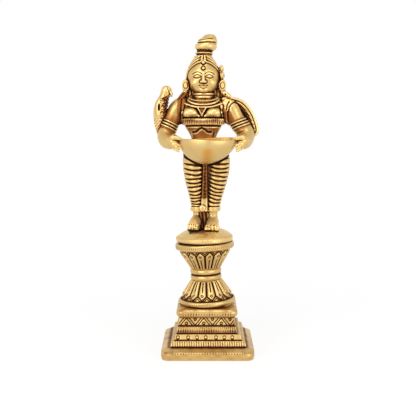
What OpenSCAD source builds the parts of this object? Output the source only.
// Cast brass lamp bearer: a standing woman with a parrot holds an oil bowl on a lotus pedestal.
// Millimetres, +Z up, her front towards -Y. The origin is the centre of the square foot, on the table.

/* [Plinth] */
// Width of the square foot slab
base_w = 49.2; // [46:0.2:54]
// Height of the slab's upright edge
slab_h = 3.9; // [3:0.1:5]
// Rise of the slab's sloping top
slope_h = 2; // [1:0.1:3]
// Radius of the slab's upright corners
slab_corner_r = 4; // [2:0.1:5]
// Width of the fluted band at its foot
flute_w = 40.1; // [38.5:0.1:41.5]
// Height of the fluted band
flute_h = 3.1; // [2:0.1:4]
// Width of the studded band at its foot
stud_w = 35.8; // [34.6:0.1:37]
// Height of the studded band
stud_h = 3.1; // [2:0.1:4]
// Width of the notched band at its foot
notch_w = 32.6; // [31.6:0.1:33.6]
// Height of the notched band
notch_h = 4.1; // [3:0.1:5]
// Width of the zigzag band at its foot
zigzag_w = 30.9; // [30:0.1:31.4]
// Height of the zigzag band
zigzag_h = 4.4; // [3:0.1:6]
// How far each band leans in on one side
band_batter = 0.8; // [0.4:0.1:1.2]
// Width of the square cushion course
cushion_w = 32.7; // [31.5:0.1:36]
// Height of the cushion course
cushion_h = 4.5; // [4:0.1:6]
// How far the cushion's side swells
cushion_bulge = 1.6; // [0.8:0.1:2]
// Radius of the cushion's upright corners
cushion_corner_r = 3.4; // [2.5:0.1:4.5]
// Height of the round seat under the pedestal
seat_h = 0.8; // [0.8:0.1:1.6]
// Thickness of the wall round the hollow in the slab
slab_wall = 4; // [3.5:0.1:5]
// Height of the hollow in the slab
slab_hollow_h = 2; // [1:0.1:2.6]
// Width of the hollow in the bands
core_w = 24.4; // [22:0.2:25]
// Height of the hollow in the bands
core_h = 15.6; // [14:0.1:17]

/* [Lotus pedestal] */
// Place of the pedestal's foot along X
pedestal_x = -0.25; // [-0.5:0.05:0]
// Lean of the pedestal and the foot plate to her right, in degrees
lean = 2.6; // [0:0.1:3]
// Radius of the ring under the lower lotus
ring_r = 15.4; // [14.8:0.1:16]
// Height of that ring
ring_h = 2.7; // [2:0.1:3.4]
// Radius of each bell where it meets its ring or rim
bell_r = 14.2; // [13.6:0.1:14.4]
// Radius of each bell at the waist
waist_r = 7.8; // [7.3:0.1:8]
// Height of the lower bell
lower_bell_h = 10; // [8:0.1:12]
// Height of the upper bell
upper_bell_h = 10.9; // [8:0.1:13]
// Radius of the two rolls of the waist collar
collar_r = 8.5; // [8.2:0.1:9.5]
// Height of one roll
roll_h = 3.2; // [2.5:0.1:4]
// Radius of the rim on the upper lotus
rim_r = 16; // [15.4:0.1:17]
// Height of the rim
rim_h = 3.2; // [2.5:0.1:4]
// Radius of the spigots that centre the sections
spigot_r = 5.2; // [4.4:0.1:6]
// Height of the spigots
spigot_h = 1.2; // [0.8:0.1:1.6]
// Depth of the cut lines round the petals
petal_cut = 0.55; // [0.4:0.05:0.7]

/* [Foot plate and clamp] */
// Radius of the foot plate
plate_r = 15.5; // [14.8:0.1:16.5]
// Height of the recess under the foot plate's edge
plate_neck_h = 0.8; // [0.5:0.1:1.2]
// Height of the foot plate's upright edge
plate_edge_h = 2.2; // [1.5:0.1:3]
// Rise of the foot plate's dome
plate_dome_h = 3.5; // [2.5:0.1:4.5]
// Radius of the level land that the feet stand on
land_r = 9; // [8:0.1:10]
// Radius of the tie rod
rod_r = 2.5; // [2:0.1:3]
// How far the rod reaches into the foot plate
rod_grip = 4; // [3:0.1:5]
// How far the rod stands out below its nut
rod_tail = 2; // [1:0.1:4]
// Radius of the clamp washer
washer_r = 5.4; // [5:0.1:6.5]
// Thickness of the clamp washer
washer_h = 1; // [0.8:0.1:1.6]
// Width of the nut across its corners
nut_w = 9.2; // [8.4:0.1:10]
// Height of the nut
nut_h = 4; // [3:0.1:5]
// Radial clearance of the rod, its nut and the spigots
run_gap = 0.06; // [0.02:0.01:0.1]
// Clearance under faces that turn on each other
seat_gap = 0.05; // [0.02:0.01:0.2]

/* [Figure] */
// Place of the figure's midline along X
figure_x = -1.9; // [-3:0.1:0]
// Height of the hem above the soles
ankle_h = 10.3; // [9:0.1:13]
// Length of one foot
foot_l = 12; // [10.5:0.1:13]
// Width of one foot across the toes
foot_w = 7.6; // [6.8:0.1:8]
// Radius of the ankle
ankle_r = 2.5; // [2.2:0.1:2.8]
// Thickness of the web between the ankles
web_t = 2.6; // [2:0.1:3.4]
// Height of the skirt from hem to waist
skirt_h = 35.7; // [32:0.1:40]
// Width of the skirt at the hem
hem_w = 15.8; // [15:0.2:17]
// Depth of the skirt at its hem
hem_d = 9.2; // [8.6:0.1:9.8]
// Width of the skirt at the hips
hip_w = 25.6; // [24:0.2:27]
// Depth of the skirt at the hips
hip_d = 14.4; // [13.4:0.2:15]
// Sway of the hips to her left
hip_sway = 1.3; // [0:0.1:1.6]
// Depth of the cut folds of the skirt
fold_cut = 0.6; // [0.4:0.05:0.8]
// Width of the front sash at its foot
sash_w = 4.6; // [3.6:0.1:5.2]
// How far the sash stands proud of the legs
sash_proud = 0.9; // [0.6:0.1:1.4]
// Height of the bend in the sash above the hem
sash_bend = 7; // [5:0.5:10]
// Distance of the sash's top below the waist
sash_drop = 8; // [7:0.5:11]
// How much narrower the sash is at its bend, and again at its top
sash_taper = 0.8; // [0.4:0.1:1]
// Height of the torso from waist to collar bone
torso_h = 26.8; // [25.5:0.1:28.5]
// Width of the torso at the waist
waist_w = 13.8; // [13:0.2:14.6]
// Width of the torso at the chest
chest_w = 22.9; // [22:0.1:24]
// Depth of the torso at the chest
chest_d = 12.2; // [11.2:0.2:13]
// Width of the neck
neck_w = 8.6; // [8:0.1:9.4]
// Height of the neck that shows below the chin
neck_h = 0.9; // [0.6:0.1:2]
// Width of the head at the temples
head_w = 17; // [16:0.1:18]
// Height of the head from chin to hair tie
head_h = 19.4; // [18.4:0.1:20.4]
// Diameter of an ear disc
ear_disc_d = 5.6; // [4.6:0.1:6.2]
// Width of the hair knot
knot_w = 12; // [11:0.1:13]
// Height of the hair knot with its tie
knot_h = 11.3; // [10.6:0.1:13]
// Height of the hair tie
tie_h = 1.9; // [1.5:0.1:2.6]
// Lean of the knot's tip to her left
knot_tip_x = 4.6; // [3.4:0.1:5]
// Thickness of a necklace strand
strand_d = 1.1; // [0.8:0.05:1.4]
// How far the first strand hangs below the collar bone
strand_fall = 2; // [1.6:0.1:2.4]
// Distance from one strand to the next in front
strand_step = 2.2; // [1.9:0.1:2.5]

/* [Arms and drape] */
// Diameter of the upper arm
arm_d = 9.2; // [8.4:0.1:9.8]
// Diameter of the wrist
wrist_d = 5.6; // [5:0.1:6.2]
// Distance of each elbow from the midline
elbow_out = 21.5; // [20.5:0.1:22.5]
// Height of the elbows above the waist
elbow_rise = 5.2; // [4.4:0.1:6]
// Drop from the collar bone to the shoulders
shoulder_drop = 5.8; // [5:0.1:6.6]
// Height of the armpits above the elbows
armpit_rise = 8.4; // [7.6:0.1:9.4]
// Thickness of one arm band
band_d = 1.1; // [0.9:0.05:1.4]
// Height of the middle band above the elbow
band_rise = 5.4; // [4.8:0.1:5.8]
// Thickness of the shoulder drape
drape_t = 2.2; // [1.8:0.1:2.8]
// Reach of the drape beyond the chest
drape_out = 17.2; // [16:0.1:18]
// Length of the drape below the shoulder
drape_l = 16; // [14:0.1:18]

/* [Lamp bowl] */
// Width of the bowl across its wings
bowl_w = 29; // [27:0.2:31]
// Reach of the bowl from its back to its tip
bowl_l = 16.6; // [15:0.2:17.6]
// Depth of the bowl outside
bowl_depth = 12.5; // [11:0.1:13]
// Wall of the bowl
bowl_wall = 1.2; // [1:0.1:1.6]
// Height of the bowl's rim above the waist
bowl_rise = 2.7; // [2:0.1:4]
// Rise of the back rim over the front tip
bowl_tilt = 0.9; // [0:0.1:1.6]
// Clear space between the skirt and the bowl's back
bowl_clear = 0.1; // [0.05:0.05:1]

/* [Parrot] */
// Height of the parrot from tail to crown
parrot_h = 26.2; // [24:0.1:27]
// Diameter of the parrot's body
parrot_d = 7; // [6:0.1:7.6]
// Diameter of the parrot's head
parrot_head_d = 5.4; // [4.6:0.1:6]

/* [Hidden] */
brass = [0.80, 0.62, 0.30];
worn_brass = [0.86, 0.70, 0.40];
steel = [0.62, 0.62, 0.60];
$fn = 64;
fine = 8;       // sides of a small rounded detail
past = 1;       // how far a cutter runs past the face that it opens

// Plinth levels
slab_top = slab_h + slope_h;
flute_top = slab_top + flute_h;
stud_top = flute_top + stud_h;
notch_top = stud_top + notch_h;
zigzag_top = notch_top + zigzag_h;
plinth_h = zigzag_top + cushion_h;
seat_z = plinth_h + seat_h;
seat_r = ring_r - 2;

// Pedestal levels, above the seat and along the leaning axis
lower_h = ring_h + lower_bell_h;
collar_h = 2 * roll_h;
collar_top = lower_h + collar_h;
upper_top = collar_top + upper_bell_h + rim_h;
plate_z = upper_top + seat_gap;
land_z = plate_z + plate_neck_h + plate_edge_h + plate_dome_h;
web_z = core_h + past - seat_z;
washer_z = web_z - seat_gap - washer_h;
nut_z = washer_z - nut_h;
rod_z = nut_z - rod_tail;

// Petals of each bell; a petal's sides run straight to the shoulder and close at the tip
petals = 16;
petal_shoulder = 0.7;
petal_tip = 0.95;

// Figure levels, above the soles
sole_z = seat_z + land_z / cos(lean) + (figure_x - pedestal_x) * tan(lean);
waist_z = ankle_h + skirt_h;
collar_bone_z = waist_z + torso_h;
shoulder_z = collar_bone_z - shoulder_drop;
chin_z = collar_bone_z + neck_h;
crown_z = chin_z + head_h;
rim_z = waist_z + bowl_rise;
bowl_x = -figure_x;
bowl_back_y = -hip_d / 2 - bowl_clear;
bowl_keel_y = bowl_back_y - bowl_l * 0.42;
web_y = 0.8;
hem_x = hip_sway / 2;
sash_x = hip_sway * 0.3;
hand_y = bowl_back_y - bowl_l * 0.34;

// Curves and skins
function catmull(a, b, c, d, t) =
    0.5 * (2 * b + (c - a) * t + (2 * a - 5 * b + 4 * c - d) * t * t + (3 * b - a - 3 * c + d) * t * t * t);
function spline(p, per) = let (last = len(p) - 1) concat(
    [for (i = [0:last - 1]) for (k = [0:per - 1])
        catmull(p[max(i - 1, 0)], p[i], p[i + 1], p[min(i + 2, last)], k / per)], [p[last]]);
function unit(v) = v / norm(v);
function oval_ring(s, sides) =
    [for (k = [0:sides - 1]) let (a = 360 * k / sides) [s[0] + s[3] * cos(a), s[1] + s[4] * sin(a), s[2]]];
function pick(p, from, count) = [for (k = [0:count - 1]) p[from + k]];
// A round ring across the direction dir, with no twist as long as dir stays off the X axis
function round_ring(c, dir, r, sides) = let (u = unit(cross(dir, [1, 0, 0])), v = unit(cross(u, dir)))
    [for (k = [0:sides - 1]) let (a = 360 * k / sides) c + r * (cos(a) * v + sin(a) * u)];

// A closed skin over rings of points, capped at both ends
module skin(rings) {
    n = len(rings[0]);
    m = len(rings);
    sides = [for (i = [0:m - 2]) for (k = [0:n - 1]) let (j = (k + 1) % n)
        each [[i * n + k, (i + 1) * n + k, (i + 1) * n + j], [i * n + k, (i + 1) * n + j, i * n + j]]];
    foot = [for (k = [1:n - 2]) [0, k, k + 1]];
    cap = [for (k = [1:n - 2]) [(m - 1) * n, (m - 1) * n + k + 1, (m - 1) * n + k]];
    polyhedron([for (r = rings) each r], concat(foot, sides, cap));
}

// A skin over rings that close on themselves, such as a necklace
module loop_skin(rings) {
    n = len(rings[0]);
    m = len(rings);
    polyhedron([for (r = rings) each r], [for (i = [0:m - 1]) for (k = [0:n - 1])
        let (j = (k + 1) % n, up = ((i + 1) % m) * n, at = i * n)
        each [[at + k, up + k, up + j], [at + k, up + j, at + j]]]);
}

// Level oval rings: stations are [x, y, z, half width, half depth]
module loft(stations, sides = 28, per = 3)
    skin([for (s = spline(stations, per)) oval_ring(s, sides)]);

// A round limb: stations are [x, y, z, radius]
module limb(stations, sides = 18, per = 5) {
    p = spline(stations, per);
    last = len(p) - 1;
    skin([for (i = [0:last])
        round_ring(pick(p[i], 0, 3), pick(p[min(i + 1, last)] - p[max(i - 1, 0)], 0, 3), p[i][3], sides)]);
}

module ball(at, r, sides = fine) translate(at) sphere(r, $fn = sides);
module rod_between(a, ra, b, rb, sides = fine) hull() {
    ball(a, ra, sides);
    ball(b, rb, sides);
}

module rounded_square(w, r) {
    square([w - 2 * r, w], center = true);
    square([w, w - 2 * r], center = true);
    for (x = [-1, 1], y = [-1, 1]) translate([x, y] * (w / 2 - r)) circle(r);
}

// A moulding of square plan: the same profile run along X and along Y
module square_moulding(profile) {
    outline = concat(profile, [for (i = [len(profile) - 1:-1:0]) [-profile[i].x, profile[i].y]]);
    intersection() {
        rotate([90, 0, 0]) linear_extrude(base_w, center = true) polygon(outline);
        rotate([90, 0, 90]) linear_extrude(base_w, center = true) polygon(outline);
    }
}

module leaning() translate([pedestal_x, 0, seat_z]) rotate([0, -lean, 0]) children();
module at_figure() translate([figure_x, 0, sole_z]) children();

// Stand
module banded_slab() intersection() {
    square_moulding([
        [base_w / 2 - 0.3, 0], [base_w / 2, slab_h * 0.5], [base_w / 2, slab_h],
        [base_w / 2 - 1, slab_h + slope_h * 0.4], [flute_w / 2 + 0.8, slab_top - 0.1],
        [flute_w / 2, slab_top], [flute_w / 2 - band_batter, flute_top],
        [stud_w / 2, flute_top], [stud_w / 2 - band_batter, stud_top],
        [notch_w / 2, stud_top], [notch_w / 2 - band_batter, notch_top],
        [zigzag_w / 2, notch_top], [zigzag_w / 2 - band_batter, zigzag_top]]);
    linear_extrude(plinth_h) rounded_square(base_w, slab_corner_r);
}

module cushion() intersection() {
    square_moulding([for (a = [-90:15:90])
        [cushion_w / 2 - cushion_bulge * (1 - cos(a)), zigzag_top + cushion_h * (1 + sin(a)) / 2]]);
    linear_extrude(plinth_h) rounded_square(cushion_w, cushion_corner_r);
}

module plinth() color(brass) difference() {
    union() {
        banded_slab();
        cushion();
        translate([pedestal_x, 0, 0]) cylinder(r = seat_r, h = seat_z + seat_r * tan(lean));
    }
    // The seat is cut square to the leaning axis
    leaning() translate([0, 0, base_w / 2]) cube(base_w, center = true);
    translate([0, 0, -past]) linear_extrude(slab_hollow_h + past)
        square(base_w - 2 * slab_wall, center = true);
    translate([0, 0, -past]) linear_extrude(core_h + past) square(core_w, center = true);
    leaning() {
        translate([0, 0, web_z - 2 * past]) cylinder(r = washer_r + past, h = 2 * past);
        translate([0, 0, web_z - past]) cylinder(r = rod_r + run_gap, h = seat_z - web_z + past);
    }
}

// A square bar set on edge between two points, to cut a line of V section
module line_cut(a, b, depth) {
    d = b - a;
    translate((a + b) / 2) rotate([0, acos(d.z / norm(d)), atan2(d.y, d.x)]) rotate([0, 0, 45])
        cube([depth * sqrt(2), depth * sqrt(2), norm(d)], center = true);
}

// Lines round the petals of a bell whose outline holds [radius, height] from the waist to the rim
module petal_cuts(outline) {
    function on_bell(share, a) = let (at = share * (len(outline) - 1), i = min(floor(at), len(outline) - 2),
        p = outline[i] + (outline[i + 1] - outline[i]) * (at - i)) [p[0] * cos(a), p[0] * sin(a), p[1]];
    for (k = [0:petals - 1]) {
        a = 360 * k / petals - 90;
        shoulder = on_bell(petal_shoulder, a);
        line_cut(on_bell(0.06, a), on_bell(petal_shoulder + 0.04, a), petal_cut);
        for (side = [-1, 1]) line_cut(shoulder, on_bell(petal_tip, a + side * 180 / petals), petal_cut);
    }
}

lower_bell = [
    [waist_r + 0.2, lower_h - 0.4], [waist_r + 3.1, ring_h + lower_bell_h * 0.55],
    [bell_r - 0.3, ring_h + 0.6]];
module lower_lotus() color(brass) leaning() difference() {
    rotate_extrude() polygon(concat(
        [[rod_r + run_gap, 0], [ring_r - 0.9, 0]],
        [for (a = [-60:20:60]) [ring_r - 0.9 + 0.9 * cos(a), ring_h / 2 * (1 + sin(a))]],
        [[bell_r, ring_h], [bell_r - 0.9, ring_h + lower_bell_h * 0.2],
         [waist_r + 3.2, ring_h + lower_bell_h * 0.55], [waist_r + 0.5, ring_h + lower_bell_h * 0.93],
         [waist_r, lower_h], [spigot_r, lower_h], [spigot_r, lower_h + spigot_h],
         [rod_r + run_gap, lower_h + spigot_h]]));
    petal_cuts(lower_bell);
}

module waist_collar() color(brass) leaning() rotate_extrude() polygon(concat(
    [[spigot_r + run_gap, lower_h]],
    [for (roll = [0:1]) for (a = [-75:15:75])
        [collar_r - 1 + cos(a), lower_h + roll_h * (roll + (1 + sin(a)) / 2)]],
    [[spigot_r + run_gap, collar_top]]));

upper_bell = [
    [waist_r + 0.2, collar_top + 0.4], [waist_r + 2.9, collar_top + upper_bell_h * 0.42],
    [bell_r - 0.2, collar_top + upper_bell_h - 0.6]];
module upper_lotus() color(brass) leaning() difference() {
    rotate_extrude() polygon([
        [rod_r + run_gap, collar_top - spigot_h], [spigot_r, collar_top - spigot_h], [spigot_r, collar_top],
        [waist_r, collar_top], [waist_r + 0.4, collar_top + upper_bell_h * 0.06],
        [waist_r + 2.9, collar_top + upper_bell_h * 0.42], [bell_r - 1.2, collar_top + upper_bell_h * 0.75],
        [bell_r, collar_top + upper_bell_h], [rim_r - 0.5, collar_top + upper_bell_h],
        [rim_r, collar_top + upper_bell_h + 0.6], [rim_r, upper_top - 0.6], [rim_r - 0.4, upper_top],
        [rod_r + run_gap, upper_top]]);
    petal_cuts(upper_bell);
}

// Foot plate and clamp
module foot_plate() color(worn_brass) leaning() rotate_extrude() polygon(concat(
    [[0, plate_z + rod_grip + past], [rod_r + run_gap, plate_z + rod_grip + past],
     [rod_r + run_gap, plate_z], [plate_r - 1.4, plate_z], [plate_r - 1.4, plate_z + plate_neck_h]],
    [[plate_r - 0.3, plate_z + plate_neck_h], [plate_r, plate_z + plate_neck_h + 0.5]],
    [for (t = [0:0.125:1]) [plate_r + (land_r - plate_r) * t, land_z - plate_dome_h * pow(1 - t, 1.8)]],
    [[0, land_z]]));

module tie_rod() color(steel) leaning() translate([0, 0, rod_z])
    cylinder(r = rod_r, h = plate_z + rod_grip - rod_z);

module clamp_washer() color(steel) leaning() translate([0, 0, washer_z]) difference() {
    cylinder(r = washer_r, h = washer_h);
    translate([0, 0, -past]) cylinder(r = rod_r + run_gap, h = washer_h + 2 * past);
}

module clamp_nut() color(steel) leaning() translate([0, 0, nut_z]) difference() {
    cylinder(d = nut_w, h = nut_h, $fn = 6);
    translate([0, 0, -past]) cylinder(r = rod_r + run_gap, h = nut_h + 2 * past);
}

// Feet: cut level with the foot plate's land, joined by a web of metal between the ankles
module foot(side) translate([hem_x + side * hem_w / 4, 0, 0]) rotate([0, 0, side < 0 ? -17 : 4]) {
    toe_y = 2.4 - foot_l;
    limb([[0, 0.6, ankle_h + 0.6, ankle_r + 0.6], [0, 0.5, ankle_h * 0.62, ankle_r + 0.2],
          [0, 0.2, ankle_h * 0.3, 3.1]], 14, 3);
    rod_between([0, 1.2, 2], 2.6, [0, -2.4, 2.6], 3.1, 12);
    hull() {
        ball([0, -1.6, 2.8], 3, 12);
        for (x = [-1, 1]) ball([x * (foot_w / 2 - 1.5), toe_y + 3.2, 1.3], 1.5);
    }
    for (toe = [0:4]) {
        x = side * (foot_w / 2 - 0.8 - toe * (foot_w - 1.8) / 4);
        r = [0.85, 0.85, 0.9, 0.95, 1.2][toe];
        rod_between([x * 0.95, toe_y + 3.4, 1.2], r, [x, toe_y + r + 0.2 * (4 - toe), 0.8], r);
    }
}

module feet() color(worn_brass) difference() {
    at_figure() {
        foot(-1);
        foot(1);
        translate([hem_x, web_y, ankle_h / 2]) cube([hem_w / 2, web_t, ankle_h + past], center = true);
    }
    leaning() translate([0, 0, land_z - plate_r]) cube(2 * plate_r, center = true);
    skirt_form();
}

// Skirt: two draped legs that meet at the midline; rise runs from 0 at the hem to 1 at the waist
function sway(rise) = hip_sway * (rise < 0.75 ? 0.5 + rise * 2 / 3 : 1 - (rise - 0.75) * 2);
leg_line = spline([
    [0, hem_w, hem_d], [0.07, hem_w + 0.2, hem_d + 0.2],
    [0.25, hem_w + (hip_w - hem_w) * 0.33, hip_d * 0.78],
    [0.43, hem_w + (hip_w - hem_w) * 0.7, hip_d * 0.9], [0.62, hip_w - 0.4, hip_d * 0.98],
    [0.8, hip_w, hip_d], [0.92, hip_w - 2, hip_d * 0.95], [1, waist_w + 4.6, hip_d * 0.83]], 2);
function leg_at(rise, column) = lookup(rise, [for (s = leg_line) [s[0], s[column]]]);

// Folds: each line climbs from the outer to the inner side of its leg, and their spacing grows upwards
folds = 12;
fold_lip = 0.016;
function fold_outer(side, k) =
    side < 0 ? 0.12 + 0.0406 * k + 0.0021 * k * k : 0.137 + 0.049 * k + 0.0011 * k * k;
function fold_inner(side, k) = side < 0 ? 0.148 + 0.0541 * k : 0.196 + 0.058 * k - 0.0003 * k * k;
function fold_rise(side, k, a) = let (inward = pow((1 - side * cos(a)) / 2, 1.5))
    fold_outer(side, k) + (fold_inner(side, k) - fold_outer(side, k)) * inward;
function leg_point(side, rise, a, cut) = let (wide = leg_at(rise, 1)) [
    sway(rise) + side * wide * 0.245 + (wide * 0.255 - cut) * cos(a), (leg_at(rise, 2) / 2 - cut) * sin(a),
    ankle_h + rise * skirt_h];
function leg_ring(side, rise) = [for (a = [0:18:342]) leg_point(side, rise, a, 0)];
function fold_ring(side, k, lip, cut) =
    [for (a = [0:18:342]) leg_point(side, fold_rise(side, k, a) + lip, a, cut)];
module leg(side, cut) skin(concat(
    [leg_ring(side, 0), leg_ring(side, 0.07)],
    [for (k = [0:folds - 1]) for (lip = [-1:1]) fold_ring(side, k, lip * fold_lip, lip == 0 ? cut : 0)],
    [leg_ring(side, 0.92), leg_ring(side, 1)]));

// The cutters for the neighbours of the skirt leave the folds out
module skirt_form(cut = 0) at_figure() {
    leg(-1, cut);
    leg(1, cut);
    // The cloth hangs straight between the legs
    hull() for (x = [-1, 1]) {
        translate([hem_x + x * hem_w * 0.18, 0, ankle_h + 1]) cylinder(r = hem_w * 0.2, h = 1, $fn = fine);
        translate([sway(0.92) + x * hip_w * 0.2, 0, waist_z - 3])
            cylinder(r = hip_d * 0.38, h = 1, $fn = fine);
    }
    for (x = [-1, 1], level = [1:3])
        rod_between([hip_sway + x * hip_w * 0.22, 0, waist_z - 2 * level], hip_d * 0.4,
                    [hip_sway, 0, waist_z - 2 * level], hip_d * 0.4);
    rod_between([hem_x - hem_w * 0.2, 0, ankle_h + 2.2], 3.8, [hem_x + hem_w * 0.2, 0, ankle_h + 2.2], 3.8);
}

module above(z) translate([0, 0, z + base_w]) cube(2 * base_w, center = true);
module below(z) translate([0, 0, z - base_w]) cube(2 * base_w, center = true);

module skirt() color(brass) difference() {
    skirt_form(fold_cut);
    at_figure() {
        above(waist_z);
        below(ankle_h);
    }
    bowl_form();
}

// Sash: a pleat that hangs in front of the valley between the legs
module sash_slice(width, depth, z) translate([sash_x, -hip_d * depth, z])
    cube([width, 2 * sash_proud + hip_d * 0.2, 1], center = true);
module front_sash() color(brass) difference() {
    at_figure() {
        hull() {
            sash_slice(sash_w, 0.36, ankle_h + 0.9);
            sash_slice(sash_w - sash_taper, 0.37, ankle_h + sash_bend);
        }
        hull() {
            sash_slice(sash_w - sash_taper, 0.37, ankle_h + sash_bend);
            sash_slice(sash_w - 2 * sash_taper, 0.4, waist_z - sash_drop);
        }
        ball([sash_x - sash_w / 2 + 1.2, -hip_d * 0.36 - 1.7 * sash_proud, ankle_h + 1.7], 1.2);
    }
    skirt_form();
    bowl_form();
}

// Torso: waist, chest and neck, as stations of [x, y, z, half width, half depth]
torso_mid = -hip_sway * 0.12;
chest_x = -chest_w * 0.04;
torso_line = [
    [torso_mid, 0, waist_z, waist_w * 0.54, chest_d * 0.46],
    [torso_mid, 0, waist_z + torso_h * 0.13, waist_w / 2, chest_d * 0.4],
    [torso_mid, 0, waist_z + torso_h * 0.27, waist_w * 0.6, chest_d * 0.41],
    [torso_mid, 0, waist_z + torso_h * 0.41, chest_w * 0.485, chest_d * 0.47],
    [torso_mid, 0, waist_z + torso_h * 0.52, chest_w * 0.51, chest_d / 2],
    [chest_x / 2, 0, waist_z + torso_h * 0.68, chest_w / 2, chest_d / 2],
    [chest_x / 2, 0.1, waist_z + torso_h * 0.82, chest_w * 0.47, chest_d * 0.47],
    [0, 0.3, waist_z + torso_h * 0.93, chest_w * 0.34, chest_d * 0.41],
    [0, 0.4, collar_bone_z, neck_w * 0.57, neck_w * 0.52],
    [0, 0.4, collar_bone_z + neck_h + 3, neck_w / 2, neck_w / 2]];
module torso_form() at_figure() {
    loft(torso_line, 24, 2);
    for (x = [-1, 1]) {
        rod_between([chest_x + x * chest_w * 0.22, -chest_d * 0.3, waist_z + torso_h * 0.62], 4,
                    [chest_x + x * chest_w * 0.26, -chest_d * 0.34, waist_z + torso_h * 0.615], 3.9, 20);
        rod_between([x * chest_w * 0.36, 0.2, shoulder_z - 0.5], 3.8,
                    [x * chest_w * 0.13, 0.3, collar_bone_z - 2.6], 2.6);
        // The folded band under the bust
        rod_between([chest_x + x * chest_w * 0.4, -chest_d * 0.24, waist_z + torso_h * 0.46], 1.5,
                    [chest_x + x * chest_w * 0.2, -chest_d * 0.43, waist_z + torso_h * 0.46], 1.5);
        rod_between([chest_x + x * chest_w * 0.2, -chest_d * 0.43, waist_z + torso_h * 0.46], 1.5,
                    [chest_x, -chest_d * 0.46, waist_z + torso_h * 0.46], 1.5);
    }
}

module torso() color(brass) difference() {
    torso_form();
    bowl_form();
}

// Necklaces: three strands that lie on the skin, from back_z at the nape to front_z on the chest
function torso_at(z, column) = lookup(z, [for (t = torso_line) [t[2], t[column]]]);
function on_torso(a, z) = let (wide = torso_at(z, 3), deep = torso_at(z, 4), y = torso_at(z, 1))
    [(wide + strand_d * 0.25) * cos(a), y + (deep + strand_d * 0.25) * sin(a), z];
function strand_at(a, back_z, front_z) =
    on_torso(a, (back_z + front_z) / 2 + (back_z - front_z) / 2 * sin(a));
function strand_ring(a, back_z, front_z) = let (c = strand_at(a, back_z, front_z),
    dir = unit(strand_at(a + 1, back_z, front_z) - strand_at(a - 1, back_z, front_z)),
    out = unit(cross(dir, [0, 0, 1])), up = unit(cross(dir, out)))
    [for (k = [0:7]) c + strand_d / 2 * (cos(45 * k) * out + sin(45 * k) * up)];

module necklaces() color(worn_brass) difference() {
    at_figure() for (strand = [0:2]) loop_skin([for (k = [0:29])
        strand_ring(12 * k, collar_bone_z + strand_d * 0.18 - strand * strand_d * 0.55,
                    collar_bone_z - strand_fall - strand * strand_step)]);
    torso_form();
    arm_form(-1);
    arm_form(1);
    head_form();
    drape_form();
}

// Head with combed hair
module head_form() at_figure() {
    loft([[0, -3.2, chin_z, 1.6, 1.3], [0, -2.5, chin_z + head_h * 0.035, head_w * 0.235, head_w * 0.21],
          [0, -1, chin_z + head_h * 0.125, head_w * 0.38, head_w * 0.35],
          [0, 0, chin_z + head_h * 0.28, head_w * 0.455, head_w * 0.43],
          [0, 0.3, chin_z + head_h * 0.48, head_w / 2, head_w * 0.47],
          [0, 0.4, chin_z + head_h * 0.7, head_w * 0.45, head_w * 0.46],
          [0, 0.4, chin_z + head_h * 0.87, head_w * 0.33, head_w * 0.36],
          [0, 0.5, crown_z, head_w * 0.25, head_w * 0.26]], 24, 2);
    // Hair falls behind the neck to the shoulders
    hull() for (x = [-1, 1]) {
        ball([x * head_w * 0.43, 2, chin_z + head_h * 0.3], 1.8);
        ball([x * head_w * 0.56, 1.8, shoulder_z + 3.4], 1.8);
    }
    // Nose, lips and brows stand on the face
    rod_between([0, -head_w * 0.45, chin_z + head_h * 0.52], 0.7,
                [0, -head_w * 0.5, chin_z + head_h * 0.34], 1.1);
    for (x = [-1, 1]) {
        rod_between([0, -head_w * 0.42, chin_z + head_h * 0.2], 0.7,
                    [x * 1.7, -head_w * 0.39, chin_z + head_h * 0.205], 0.5);
        rod_between([x * 1.6, -head_w * 0.43, chin_z + head_h * 0.49], 0.7,
                    [x * 4.4, -head_w * 0.36, chin_z + head_h * 0.49], 0.7);
        rod_between([x * 1.4, -head_w * 0.46, chin_z + head_h * 0.575], 0.4,
                    [x * 5, -head_w * 0.37, chin_z + head_h * 0.59], 0.4);
        rod_between([x * head_w * 0.47, 0, chin_z + head_h * 0.52], 1.3,
                    [x * head_w * 0.47, 0.2, chin_z + head_h * 0.3], 1.2);
    }
}

module head() color(worn_brass) difference() {
    head_form();
    torso_form();
    at_figure() above(crown_z);
}

// Ear discs: a large one hangs at each lobe with a tassel on the shoulder, a flower sits over her left ear
module ear_discs() color(worn_brass) difference() {
    at_figure() {
        for (x = [-1, 1]) {
            lobe = [x * head_w * 0.55, -0.8, chin_z + head_h * 0.18];
            hull() {
                translate(lobe) scale([0.62, 1, 1.2]) sphere(d = ear_disc_d, $fn = 14);
                ball(lobe + [0, 0, ear_disc_d * 0.4], 1);
            }
            rod_between(lobe + [x * 0.6, 0, -ear_disc_d * 0.5], 1.2,
                        [x * (chest_w / 2 + 1), -1.2, shoulder_z + 3.6], 1.3);
        }
        hull() for (level = [0.46, 0.66])
            ball([head_w * 0.54, -0.6, chin_z + head_h * level], ear_disc_d * 0.28);
    }
    head_form();
    torso_form();
    arm_form(-1);
    arm_form(1);
    drape_form();
}

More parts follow.
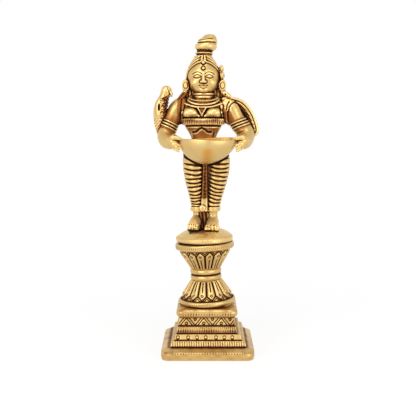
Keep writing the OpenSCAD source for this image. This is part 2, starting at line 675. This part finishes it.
// Hair knot: a tie ring with a coil that rises to a tip over her left side
module hair_knot() color(worn_brass) at_figure() translate([0, 0.5, crown_z]) {
    tip_r = knot_w * 0.21;
    for (roll = [0:1]) hull() for (level = [0.2, 0.5, 0.8])
        translate([0.2, 0, tie_h * (roll + level) / 2])
            cylinder(r = head_w * (0.23 + 0.03 * (1 - abs(level - 0.5) * 2)), h = 0.2, $fn = 24);
    translate([0.3, 0, 0]) cylinder(r = head_w * 0.23, h = tie_h + past, $fn = 24);
    hull() {
        for (s = [[0.02, 0.36], [0.2, 0.46], [0.4, 0.5], [0.55, 0.46]])
            translate([knot_tip_x * 0.4 * s[1], 0, tie_h + s[0] * (knot_h - tie_h)])
                cylinder(r = s[1] * knot_w, h = 0.2, $fn = 24);
        ball([knot_tip_x, 0, knot_h - tip_r], tip_r, 16);
        ball([-knot_tip_x * 0.3, 0, tie_h + knot_w * 0.3], knot_w * 0.32, 16);
    }
    for (turn = [0:5]) hull() for (end = [-1, 1])
        ball([knot_tip_x * 0.5 + end * (3.8 - 0.5 * turn), 0.7 * turn - knot_w * 0.42,
              tie_h + knot_w * (0.38 + 0.02 * end)], 0.9);
}

// Arms: shoulder to hand, with the fingers under the bowl's wing and the thumb on its rim
function hand_at(side) = [bowl_x + side * (bowl_w / 2 + 1.2), hand_y, rim_z - 0.3];
function elbow_at(side) = [side * elbow_out + bowl_x / 2, -1.4, waist_z + elbow_rise];

function upper_arm_at(side) =
    [side * (chest_w / 2 + elbow_out + 1.8) / 2, 0.1, (shoulder_z + elbow_at(side).z) / 2 + 0.2,
     arm_d * 0.49];

module hand(side) translate(hand_at(side)) {
    rod_between([side * 2.2, 1.6, 0], wrist_d * 0.5, [side * 0.6, -0.6, -0.8], wrist_d * 0.46, 12);
    for (f = [0:3]) {
        y = -2.4 + 1.4 * f;
        knuckle = [side * 0.1, y - 0.5, -3.4];
        rod_between([side * 1.4, y, -1.4], 1.1, knuckle, 1.05);
        rod_between(knuckle, 1.05, [-side * 1.3, y - 0.7, -5.9 + 0.4 * f], 0.8);
    }
    thumb = [-side * 0.6, -1.4, 1.6];
    rod_between([side * 1.2, -0.8, 0.6], 1.4, thumb, 1.05);
    rod_between(thumb, 1.05, [-side * 2.4, -1.5, 1.7], 0.8);
}

module arm_form(side) at_figure() {
    hand = hand_at(side);
    elbow = elbow_at(side);
    limb([[side * (chest_w / 2 + 0.4), 0.3, shoulder_z + 1, arm_d * 0.4],
          [side * (chest_w / 2 + 3), 0.2, shoulder_z - 1.4, arm_d * 0.47],
          upper_arm_at(side),
          [elbow.x * 0.98, elbow.y + 0.8, elbow.z + 1.4, arm_d * 0.51],
          [elbow.x * 0.97, elbow.y - 2.6, elbow.z - 2.2, arm_d * 0.48],
          [(elbow.x + hand.x) / 2 + side, (elbow.y + hand.y) / 2 - 1.6, hand.z - 1,
           (arm_d + wrist_d) / 4.2],
          [hand.x + side * 2.2, hand.y + 1.8, hand.z, wrist_d / 2]], 16, 4);
    // The casting is filled at the armpit
    rod_between([side * (chest_w / 2 + 1), 0.3, shoulder_z - 3], 4,
                [side * (chest_w / 2 + 1.6), 0.2, elbow.z + armpit_rise], 2.6);
    hand(side);
}

module arm(side) color(brass) difference() {
    arm_form(side);
    torso_form();
    bowl_form();
    skirt_form();
}
module right_arm() arm(-1);
module left_arm() arm(1);

// Arm bands: three rolls round each upper arm, just above the elbow
module on_upper_arm(side) {
    low = elbow_at(side) + [0, 0.8, 1.4];
    along = unit(pick(upper_arm_at(side), 0, 3) - low);
    at_figure() translate(low + along * band_rise) rotate([0, side * -acos(along.z), 0]) children();
}
module arm_bands() color(worn_brass) difference() {
    for (side = [-1, 1], roll = [-1:1]) on_upper_arm(side) translate([0, 0, roll * band_d * 0.9])
        rotate_extrude($fn = 18) translate([arm_d * 0.52, 0]) circle(d = band_d, $fn = 6);
    arm_form(-1);
    arm_form(1);
    torso_form();
}
// Room for the rolls on one arm
module arm_bands_space(side) on_upper_arm(side)
    cylinder(r = arm_d * 0.52 + band_d * 0.55, h = 3 * band_d, center = true, $fn = 24);

// Lamp bowl: a leaf in plan, broad at the back with wings in the hands and a pointed tip in front
function leaf(a) = let (w = sin(a) * pow(abs(sin(a / 2)), 0.6) / 0.836, front = cos(a) > 0 ? 0.58 : 0.42)
    [w, -cos(a) * front];
function bowl_ring(sink, inset) = let (
    narrow = pow(1 - pow(sink, 1.7), 0.62), half_w = bowl_w / 2 - inset, reach = bowl_l - 2 * inset)
    [for (a = [-180:10:170]) let (p = leaf(a)) [
        bowl_x + half_w * narrow * p.x, bowl_keel_y + reach * narrow * p.y,
        rim_z - sink * (bowl_depth - inset) + bowl_tilt * (1 - sink) * (p.y + 0.58)]];
bowl_sinks = [0.985, 0.9, 0.75, 0.6, 0.45, 0.3, 0.15, 0];
module lamp_bowl() color(worn_brass) at_figure() skin(concat(
    [for (s = bowl_sinks) bowl_ring(s, 0)],
    [for (k = [len(bowl_sinks) - 1:-1:0]) bowl_ring(bowl_sinks[k], bowl_wall)]));
module bowl_form() at_figure() skin([for (s = bowl_sinks) bowl_ring(s, -0.02)]);

// Parrot: clings to the outside of her right upper arm, tail down
module parrot_form() at_figure() {
    perch = [-elbow_out - 1.6, 0, waist_z + elbow_rise + 1];
    crown = perch.z + parrot_h - 0.6;
    head_c = [perch.x + 3.1, -1.4, crown - parrot_head_d / 2];
    neck = [perch.x + 1.8, -1, crown - parrot_h * 0.22];
    chest = [perch.x + 0.2, -0.6, crown - parrot_h * 0.41];
    belly = [perch.x - 0.3, -0.2, crown - parrot_h * 0.58];
    rod_between(head_c, parrot_head_d / 2, neck, parrot_head_d * 0.46, 14);
    rod_between(neck, parrot_head_d * 0.46, chest, parrot_d / 2, 14);
    rod_between(chest, parrot_d / 2, belly, parrot_d * 0.46, 14);
    rod_between(belly, parrot_d * 0.46, [perch.x - 0.7, 0.4, perch.z + 1], 1.1, 14);
    // Hooked beak
    brow = head_c + [parrot_head_d * 0.36, -0.5, -0.2];
    hook = head_c + [parrot_head_d * 0.62, -0.6, -1.4];
    rod_between(brow, 1.3, hook, 0.9);
    rod_between(hook, 0.9, hook + [-0.5, 0, -1], 0.6);
    // Folded wings
    for (y = [-1, 1]) rod_between(chest + [-0.6, y * parrot_d * 0.36, 1.6], 1.6,
                                  belly + [-0.8, y * parrot_d * 0.3, -4], 1.1);
}

module parrot() color(worn_brass) difference() {
    parrot_form();
    arm_form(-1);
    torso_form();
    arm_bands_space(-1);
}

// Shoulder drape: the end of her shawl, over her left shoulder and down behind the arm
// Its outer edge and the fold behind the arm are shares of the reach beyond the chest and of the fall
function drape_point(share, y, fall) =
    [chest_w / 2 + share * drape_out, y, shoulder_z + drape_t * 1.4 - fall * (drape_l + drape_t * 1.4)];
drape_edge = [
    drape_point(-0.08, -1.6, 0), drape_point(0.21, -0.8, 0.03), drape_point(0.49, 0.2, 0.14),
    drape_point(0.74, 0.8, 0.39), drape_point(0.91, 1, 0.66), drape_point(1, 1, 0.9),
    drape_point(0.9, 1, 1)];
drape_fold = [
    drape_point(-0.14, 1.6, 0.03), drape_point(0.03, 2.4, 0.18), drape_point(0.2, 3, 0.32),
    drape_point(0.41, 3, 0.51), drape_point(0.56, 2.6, 0.75), drape_point(0.7, 2, 0.91),
    drape_point(0.76, 1.6, 1)];
module drape_form() at_figure() for (i = [0:len(drape_edge) - 2]) hull() {
    for (k = [i, i + 1]) {
        ball(drape_edge[k], drape_t / 2);
        ball(drape_fold[k], drape_t / 2);
    }
}

module shoulder_drape() color(brass) difference() {
    drape_form();
    arm_form(1);
    torso_form();
    arm_bands_space(1);
    head_form();
}

plinth();
lower_lotus();
waist_collar();
upper_lotus();
tie_rod();
clamp_washer();
clamp_nut();
foot_plate();
feet();
skirt();
front_sash();
torso();
necklaces();
head();
ear_discs();
hair_knot();
right_arm();
left_arm();
arm_bands();
lamp_bowl();
parrot();
shoulder_drape();
